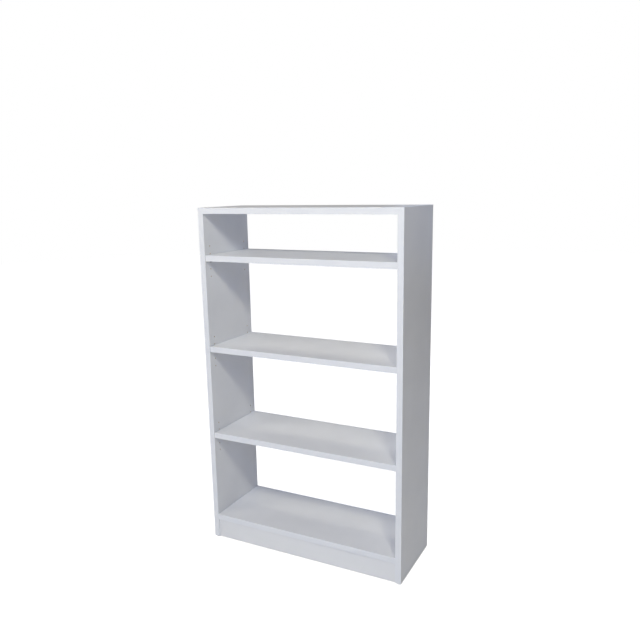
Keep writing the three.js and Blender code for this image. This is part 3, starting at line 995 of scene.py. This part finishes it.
def softbox(box, strength):
    """A rectangular lamp aimed at the bookcase, unseen itself."""
    lamp = bpy.data.lights.new(box.name, "AREA")
    lamp.shape = "RECTANGLE"
    lamp.size, lamp.size_y = box.size
    lamp.energy = max(box.power) * strength
    lamp.color = [value / max(box.power) for value in box.power]
    made = bpy.data.objects.new(box.name, lamp)
    made.visible_camera = False
    bpy.context.collection.objects.link(made)
    towards = Vector(AIM) - Vector(box.place)
    made.matrix_world = Matrix.Translation(box.place) @ towards.to_track_quat("-Z", "Y").to_matrix().to_4x4()
    return made


def studio_floor():
    """A smooth painted floor, pale and matt, with the faint cloudiness of a rolled coat."""
    colours = bpy.context.scene.bookcase_colours

    def finish(tree, shader, coordinates):
        clouds = add(
            tree, "ShaderNodeTexNoise", {"Vector": coordinates.outputs["Object"], "Scale": 2.0, "Detail": 3.0}
        )
        tint = add(
            tree, "ShaderNodeValToRGB", {"Fac": clouds.outputs["Fac"]},
            stops=[(0.3, shaded(colours.floor, 0.99)), (0.7, colours.floor)],
        )
        plug(shader, {"Base Color": tint.outputs["Color"], "Roughness": 0.8, "Specular IOR Level": 0.2})
        # The glow lifts the floor to white in the picture and throws no light on the bookcase.
        path = add(tree, "ShaderNodeLightPath")
        away = add(tree, "ShaderNodeVectorMath", {0: coordinates.outputs["Object"]}, operation="LENGTH")
        lift = add(
            tree, "ShaderNodeMapRange",
            {"Value": away.outputs["Value"], "From Min": 1.0, "From Max": 3.5, "To Min": 0.8, "To Max": 1.0},
        )
        glow = add(
            tree, "ShaderNodeMath",
            {0: path.outputs["Is Camera Ray"], 1: lift.outputs["Result"]}, operation="MULTIPLY",
        )
        plug(shader, {"Emission Strength": glow.outputs["Value"], "Emission Color": (1, 1, 1, 1)})

    shape = bmesh.new()
    bmesh.ops.create_circle(shape, cap_ends=True, segments=96, radius=FLOOR_RADIUS)
    floor = as_object("studio_floor", shape, [material("Pale painted floor", finish)])
    return floor


def studio_world():
    """An even pale surround, white where the camera looks straight at it."""
    world = bpy.data.worlds.new("Studio surround")
    world.use_nodes = True
    tree = world.node_tree
    ambient = add(tree, "ShaderNodeBackground", {"Color": (*AMBIENT, 1), "Strength": 1.0})
    white = add(tree, "ShaderNodeBackground", {"Color": (1, 1, 1, 1), "Strength": 1.0})
    path = add(tree, "ShaderNodeLightPath")
    either = add(
        tree, "ShaderNodeMixShader",
        {0: path.outputs["Is Camera Ray"], 1: ambient.outputs["Background"], 2: white.outputs["Background"]},
    )
    plug(tree.nodes["World Output"], {"Surface": either.outputs["Shader"]})
    bpy.context.scene.world = world


def camera(studio):
    """The scene's camera, in front of the bookcase, to the right of it and a little above it."""
    lens = bpy.data.cameras.new("camera")
    lens.lens, lens.sensor_width, lens.shift_y = studio.lens, SENSOR_WIDTH, studio.rise
    made = bpy.data.objects.new("camera", lens)
    bpy.context.collection.objects.link(made)
    turn = (
        Matrix.Rotation(studio.camera_turn, 4, "Z")
        @ Matrix.Rotation(math.pi / 2 - studio.camera_tilt, 4, "X")
        @ Matrix.Rotation(studio.camera_roll, 4, "Z")
    )
    made.matrix_world = Matrix.Translation(studio.camera_place) @ turn
    bpy.context.scene.camera = made


# ---- Operators ----


class BOOKCASE_OT_side_panels(Operator):
    """Make the two side panels, with their support holes"""

    bl_idname = "bookcase.side_panels"
    bl_label = "Side panels"

    def execute(self, context):
        for name in SIDES:
            faced_board(f"side_board_{name}", f"side_panel_{name}", side_panel_bores(name))
        return {"FINISHED"}


class BOOKCASE_OT_fixed_boards(Operator):
    """Make the top, the base shelf and the plinth"""

    bl_idname = "bookcase.fixed_boards"
    bl_label = "Top, base and plinth"

    def execute(self, context):
        faced_board("top_board", "top_panel", fixed_board_bores("top"))
        faced_board("base_board", "base_panel", fixed_board_bores("base"))
        faced_board("kick_board", "plinth_board", fixed_board_bores("plinth"))
        return {"FINISHED"}


class BOOKCASE_OT_shelves(Operator):
    """Make the three loose shelves"""

    bl_idname = "bookcase.shelves"
    bl_label = "Loose shelves"

    def execute(self, context):
        for name in SHELVES:
            faced_board(f"loose_shelf_{name}", f"shelf_{name}")
        return {"FINISHED"}


class BOOKCASE_OT_edge_bands(Operator):
    """Make the rounded edge bands"""

    bl_idname = "bookcase.edge_bands"
    bl_label = "Edge bands"

    def execute(self, context):
        for name in SIDES:
            side_band(name)
        for board_name in ("top", "base"):
            for end in ENDS:
                fixed_board_band(board_name, end)
        for name in SHELVES:
            shelf_band(name)
        return {"FINISHED"}


class BOOKCASE_OT_supports(Operator):
    """Make the push-in shelf supports"""

    bl_idname = "bookcase.supports"
    bl_label = "Shelf supports"

    def execute(self, context):
        for node in named("support_"):
            support(node)
        return {"FINISHED"}


class BOOKCASE_OT_cam_fittings(Operator):
    """Make the cams and their bolts"""

    bl_idname = "bookcase.cam_fittings"
    bl_label = "Cam fittings"

    def execute(self, context):
        for bolt in named("cam_bolt_"):
            cam_bolt(bolt)
            cam(bolt.replace("cam_bolt_", "cam_"))
        return {"FINISHED"}


class BOOKCASE_OT_dowels(Operator):
    """Make the fluted dowels"""

    bl_idname = "bookcase.dowels"
    bl_label = "Dowels"

    def execute(self, context):
        for node in named("dowel_"):
            dowel(node)
        return {"FINISHED"}


class BOOKCASE_OT_glides(Operator):
    """Make the floor glides"""

    bl_idname = "bookcase.glides"
    bl_label = "Floor glides"

    def execute(self, context):
        for node in named("glide_"):
            glide(node)
        return {"FINISHED"}


class BOOKCASE_OT_studio(Operator):
    """Make the floor, the lights and the camera"""

    bl_idname = "bookcase.studio"
    bl_label = "Studio"

    def execute(self, context):
        studio = context.scene.bookcase_studio
        studio_floor()
        studio_world()
        for box in SOFTBOXES:
            softbox(box, studio.light)
        camera(studio)
        context.scene.view_settings.view_transform = "Standard"
        return {"FINISHED"}


OPERATORS = (
    BOOKCASE_OT_studio,
    BOOKCASE_OT_side_panels,
    BOOKCASE_OT_fixed_boards,
    BOOKCASE_OT_shelves,
    BOOKCASE_OT_edge_bands,
    BOOKCASE_OT_supports,
    BOOKCASE_OT_cam_fittings,
    BOOKCASE_OT_dowels,
    BOOKCASE_OT_glides,
)


class BOOKCASE_PT_sidebar(Panel):
    """Lists what the add-on makes, and what can be changed"""

    bl_idname = "BOOKCASE_PT_sidebar"
    bl_label = "White Melamine Bookcase"
    bl_space_type = "VIEW_3D"
    bl_region_type = "UI"
    bl_category = "Bookcase"

    def draw(self, context):
        for operator in OPERATORS:
            self.layout.operator(operator.bl_idname)
        for group in (
            context.scene.bookcase_sizes,
            context.scene.bookcase_colours,
            context.scene.bookcase_studio,
        ):
            section = self.layout.box()
            for key in group.__annotations__:
                section.prop(group, key)


CLASSES = (BookcaseSizes, BookcaseColours, BookcaseStudio, *OPERATORS, BOOKCASE_PT_sidebar)


def register():
    """Register the classes, and hang the groups of properties on the scene."""
    for cls in CLASSES:
        bpy.utils.register_class(cls)
    bpy.types.Scene.bookcase_sizes = PointerProperty(type=BookcaseSizes)
    bpy.types.Scene.bookcase_colours = PointerProperty(type=BookcaseColours)
    bpy.types.Scene.bookcase_studio = PointerProperty(type=BookcaseStudio)


def unregister():
    """Undo register."""
    del bpy.types.Scene.bookcase_studio
    del bpy.types.Scene.bookcase_colours
    del bpy.types.Scene.bookcase_sizes
    for cls in reversed(CLASSES):
        bpy.utils.unregister_class(cls)


def main():
    """Make everything."""
    register()
    for operator in OPERATORS:
        getattr(bpy.ops.bookcase, operator.bl_idname.split(".")[1])()


if __name__ == "__main__":
    main()
